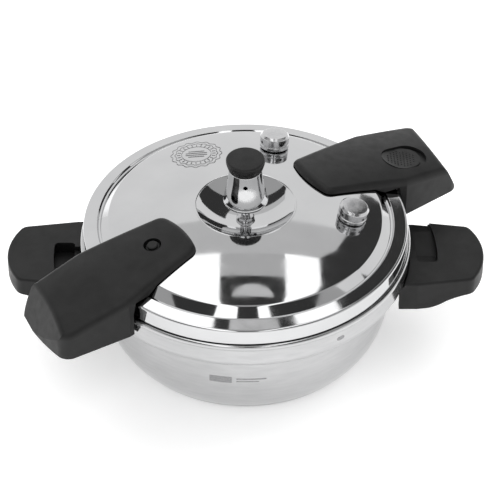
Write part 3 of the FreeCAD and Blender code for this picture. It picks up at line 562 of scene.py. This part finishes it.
def valve_place(angle):
    """The frame of a valve on the dome at rest, in metres: Z square to the surface."""
    lean = math.asin(VALVE_RADIUS / DOME_RADIUS)
    spot = Vector((VALVE_RADIUS, 0, dome_height(VALVE_RADIUS))) * MM
    seat = Matrix.Translation(spot) @ Matrix.Rotation(lean, 4, "Y")
    return Matrix.Rotation(LID_TURN + math.radians(angle), 4, "Z") @ seat


# ---- small marks and details ----

def add_ribbon(builder, points, width, closed, thickness=0.00004):
    """A flat strip along points; each point is (place, outward normal), in metres."""
    rows = []
    count = len(points)
    for index, (place, normal) in enumerate(points):
        before = points[index - 1][0] if closed or index else place
        after = points[(index + 1) % count][0] if closed or index < count - 1 else place
        side = (after - before).normalized().cross(normal) * width / 2
        lifted = place + normal * thickness
        rows.append([builder.verts.new(spot) for spot in
                     (place - side, place + side, lifted + side, lifted - side)])
    pairs = list(zip(rows, rows[1:])) + ([(rows[-1], rows[0])] if closed else [])
    for first, second in pairs:
        for corner in range(4):
            beyond = (corner + 1) % 4
            builder.faces.new([first[corner], first[beyond], second[beyond], second[corner]])
    if not closed:
        builder.faces.new(rows[0])
        builder.faces.new(list(reversed(rows[-1])))


def on_dome(centre_angle, centre_radius, x, y):
    """A point of the dome and its normal, from flat offsets in millimetres about an emblem's centre."""
    middle = Vector((math.cos(centre_angle), math.sin(centre_angle))) * centre_radius
    spot = middle + Vector((x, y))
    radius = spot.length
    lean = radius / DOME_RADIUS
    normal = Vector((spot.x / radius * lean, spot.y / radius * lean, math.sqrt(1 - lean ** 2)))
    return Vector((spot.x, spot.y, dome_height(radius))) * MM + normal * 0.00001, normal


def lid_emblem():
    """A plain seal etched on the dome: three rings, short rays and blank bars, with no lettering."""
    builder = bmesh.new()
    angle, away = math.radians(119.5), 69.0

    def spots(path):
        return [on_dome(angle, away, x, y) for x, y in path]

    def ring(radius, ripple, ripples, count=144):
        turns = [math.tau * index / count for index in range(count)]
        return [((radius + ripple * math.cos(ripples * turn)) * math.cos(turn),
                 (radius + ripple * math.cos(ripples * turn)) * math.sin(turn)) for turn in turns]

    for radius, ripple, width in ((17.0, 0.7, 0.4), (14.4, 0.5, 0.35), (10.2, 0.0, 0.35)):
        add_ribbon(builder, spots(ring(radius, ripple, 16)), width * MM, True)
    for index in range(24):
        turn = math.tau * index / 24
        ray = [(size * math.cos(turn), size * math.sin(turn)) for size in (11.0, 13.4)]
        add_ribbon(builder, spots(ray), 0.5 * MM, False)
    for row, half in ((-3.6, 5.5), (-1.2, 7.4), (1.2, 7.4), (3.6, 5.5)):
        add_ribbon(builder, spots([(-half + half * step / 4, row) for step in range(9)]), 0.6 * MM, False)
    tidy_normals(builder)
    return new_object("lid_emblem", builder)


def on_wall(x, z):
    """A point of the pot's wall and its normal, from an arc length x and a height z in millimetres."""
    centre_radius, sweep_height, curve = 19.5, 44.0, 80.0
    drop = max(sweep_height - z, 0)
    radius = centre_radius + math.sqrt(curve ** 2 - drop ** 2)
    turn = math.radians(-90) + x / radius
    slope = drop / curve
    level = math.sqrt(1 - slope ** 2)
    normal = Vector((math.cos(turn) * level, math.sin(turn) * level, -slope))
    place = Vector((radius * math.cos(turn), radius * math.sin(turn), z)) * MM
    return place + normal * 0.00001, normal


def pot_label():
    """Blank printed bars low on the pot's front: a filled block and two plain lines."""
    builder = bmesh.new()

    def bar(low, high, height, width, steps=12):
        path = [on_wall(low + (high - low) * index / steps, height) for index in range(steps + 1)]
        add_ribbon(builder, path, width * MM, False)

    for row in range(6):
        bar(-24, -9, 37.6 + row * 0.9, 0.92)
    bar(-6, 14, 40.9, 1.1)
    bar(-6, 9, 38.6, 0.7)
    tidy_normals(builder)
    return new_object("pot_label", builder)


def collar_dimple():
    """A small oblong locating mark on the collar, with a raised edge."""
    half_length, half_height, squareness = 2.9, 1.6, 0.7
    builder = bmesh.new()
    turn = math.radians(-56)
    outward = Vector((math.cos(turn), math.sin(turn), 0))
    along = Vector((-math.sin(turn), math.cos(turn), 0))
    up = Vector((0, 0, 1))
    centre = (outward * COLLAR_RADIUS + up * 71.2) * MM
    rings = []
    for scale, lift in ((1.0, 0.02), (0.86, 0.08), (0.7, 0.05), (0.35, 0.03)):
        ring = []
        for index in range(32):
            angle = math.tau * index / 32
            cosine, sine = math.cos(angle), math.sin(angle)
            x = half_length * scale * math.copysign(abs(cosine) ** squareness, cosine)
            y = half_height * scale * math.copysign(abs(sine) ** squareness, sine)
            bend = x * x / (2 * COLLAR_RADIUS)
            ring.append(builder.verts.new(centre + (along * x + up * y + outward * (lift - bend)) * MM))
        rings.append(ring)
    for outer, inner in zip(rings, rings[1:]):
        for index in range(32):
            beyond = (index + 1) % 32
            builder.faces.new([outer[index], outer[beyond], inner[beyond], inner[index]])
    builder.faces.new(rings[-1])
    tidy_normals(builder)
    piece = new_object("collar_dimple", builder)
    smooth(piece, 60)
    return piece


def slider_grips():
    """Rows of small raised dots on the thumb slider's dished plate, for grip."""
    builder = bmesh.new()
    plate_middle = Vector((124, -8, 98.8))
    slope = math.radians(11.8)
    dish_radius, dish_depth = 75, 1.23
    turned_out = Matrix.Rotation(LID_TURN, 4, "Z")
    for column in range(-4, 5):
        for row in range(-4, 5):
            along = column * 2.7 + (row % 2) * 1.35
            across = row * 2.1
            if (along / 11.6) ** 2 + (across / 8.8) ** 2 > 1:
                continue
            lift = dish_radius - dish_depth - math.sqrt(dish_radius ** 2 - along ** 2)
            offset = Vector((along * math.cos(slope) + lift * math.sin(slope), across,
                             lift * math.cos(slope) - along * math.sin(slope)))
            spot = turned_out @ ((plate_middle + offset) * MM)
            matrix = Matrix.Translation(spot) @ Matrix.Diagonal((1, 1, 0.7, 1))
            bmesh.ops.create_uvsphere(builder, u_segments=14, v_segments=8, radius=0.6 * MM, matrix=matrix)
    piece = new_object("slider_grips", builder)
    smooth(piece, 80)
    return piece


# ---- the studio ----

def floor():
    """A large pale floor."""
    builder = bmesh.new()
    bmesh.ops.create_grid(builder, x_segments=8, y_segments=8, size=6.0)
    plane = new_object("floor", builder)
    look = Look("pale_floor", Roughness=0.9, Emission_Color=(1, 1, 1, 1), Emission_Strength=0.31)
    look.feed("Base Color", look.tones(look.noise(3, 3), (0.88, 0.88, 0.88), (0.9, 0.9, 0.9)))
    plane.data.materials.append(look.material)
    return plane


def softbox(name, place, size, power):
    """A rectangular area light that points at the object and isn't seen in reflections."""
    light = bpy.data.lights.new(name, "AREA")
    light.shape = "RECTANGLE"
    light.size, light.size_y = size
    light.energy = power
    lamp = bpy.data.objects.new(name, light)
    bpy.context.scene.collection.objects.link(lamp)
    lamp.location = place
    lamp.rotation_euler = (Vector(place) - Vector((0, 0, 0.08))).to_track_quat("Z", "Y").to_euler()
    lamp.visible_glossy = False
    return lamp


def card(name, corners, height, strength):
    """A flat overhead card, only seen in reflections, to shape what the polished steel mirrors."""
    builder = bmesh.new()
    builder.faces.new([builder.verts.new((x, y, height)) for x, y in corners])
    sheet = new_object(name, builder)
    material = bpy.data.materials.new(name)
    material.use_nodes = True
    nodes = material.node_tree.nodes
    nodes.clear()
    glow = nodes.new("ShaderNodeEmission")
    glow.inputs["Color"].default_value = (1, 1, 1, 1)
    glow.inputs["Strength"].default_value = strength
    target = nodes.new("ShaderNodeOutputMaterial")
    material.node_tree.links.new(glow.outputs["Emission"], target.inputs["Surface"])
    sheet.data.materials.append(material)
    sheet.visible_camera = False
    sheet.visible_diffuse = False
    sheet.visible_shadow = False
    return sheet


def oblong(left, right, near, far):
    """The corners of a rectangle seen from above."""
    return [(left, near), (right, near), (right, far), (left, far)]


def half_disc(x, y, radius):
    """A half disc seen from above, with its straight side towards the camera."""
    turns = [math.pi * index / 20 for index in range(21)]
    return [(x + radius * math.cos(turn), y + radius * math.sin(turn)) for turn in turns]


def sky():
    """An even white room around the object."""
    world = bpy.data.worlds.new("room")
    world.use_nodes = True
    background = world.node_tree.nodes["Background"]
    background.inputs["Color"].default_value = (1, 1, 1, 1)
    background.inputs["Strength"].default_value = 1.0
    bpy.context.scene.world = world


def studio():
    """Soft light, and a ceiling of dark and bright cards for the steel to mirror."""
    sky()
    floor()
    softbox("softbox_left", (-1.0, 0.9, 1.5), (1.6, 0.72), 11.0)
    softbox("softbox_right", (1.0, 0.9, 1.5), (1.6, 0.72), 11.0)
    card("ceiling_dark", oblong(-2.6, 2.6, -2.8, 1.32), 2.06, 0.05)
    card("ceiling_mid", oblong(-2.6, 2.6, -1.0, 0.5), 2.05, 0.5)
    card("ceiling_far", oblong(-2.6, 2.6, 1.29, 1.95), 2.04, 0.72)
    card("panel_left", oblong(-0.7, -0.19, -2.2, 1.29), 2.0, 1.9)
    card("panel_right", oblong(0.29, 0.56, -2.2, 1.29), 2.0, 1.9)
    card("panel_gap", oblong(-0.19, 0.29, 0.97, 1.29), 2.02, 0.62)
    card("dark_side", [(0.56, 0.5), (3.6, 0.5), (3.6, 3.4), (1.2, 3.4), (1.02, 2.5), (0.88, 1.95),
                       (0.72, 1.5), (0.56, 1.3)], 2.03, 0.05)
    card("lamp", half_disc(0.05, 0.71, 0.15), 2.0, 0.8)


def photo_camera():
    """A long lens from the front, about forty degrees above the table."""
    target = Vector((0.003, 0, 0.068))
    elevation = math.radians(40.4)
    distance = 1.75
    camera = bpy.data.cameras.new("camera")
    camera.lens = 185.3
    camera.sensor_width = 36
    view = bpy.data.objects.new("camera", camera)
    bpy.context.scene.collection.objects.link(view)
    view.location = target + distance * Vector((0, -math.cos(elevation), math.sin(elevation)))
    view.rotation_euler = (math.pi / 2 - elevation, 0, 0)
    bpy.context.scene.camera = view


def build():
    dress_cad_nodes()
    finish_piece(lid_skin(), "lid", STEEL, "polished_steel", "lid_shell")
    finish_piece(pot_skin(), "pot", BRUSHED, "polished_steel", "pot_body")
    finish_piece(base_skin(), "pot", BRUSHED, "polished_steel", "base_cap")
    finish_piece(weight_skin(), "weight", STEEL, "polished_steel", "weight_body")
    finish_piece(weight_cap_skin(), "weight", CAP_BLACK, "black_cap", "weight_cap")
    for name, angle in VALVE_ANGLES:
        cap = valve_cap_skin(f"valve_cap_skin_{name}", valve_place(angle))
        finish_piece(cap, "lid", SATIN, "polished_steel", f"valve_cap_{name}")
    finish_piece(lid_emblem(), "lid", ETCHED, "polished_steel")
    finish_piece(pot_label(), "pot", ETCHED, "polished_steel")
    finish_piece(collar_dimple(), "pot", ETCHED, "satin_steel")
    finish_piece(slider_grips(), "lock", SLIDER_BLACK, "black_slider")


build()
studio()
photo_camera()
bpy.context.scene.view_settings.view_transform = "Standard"
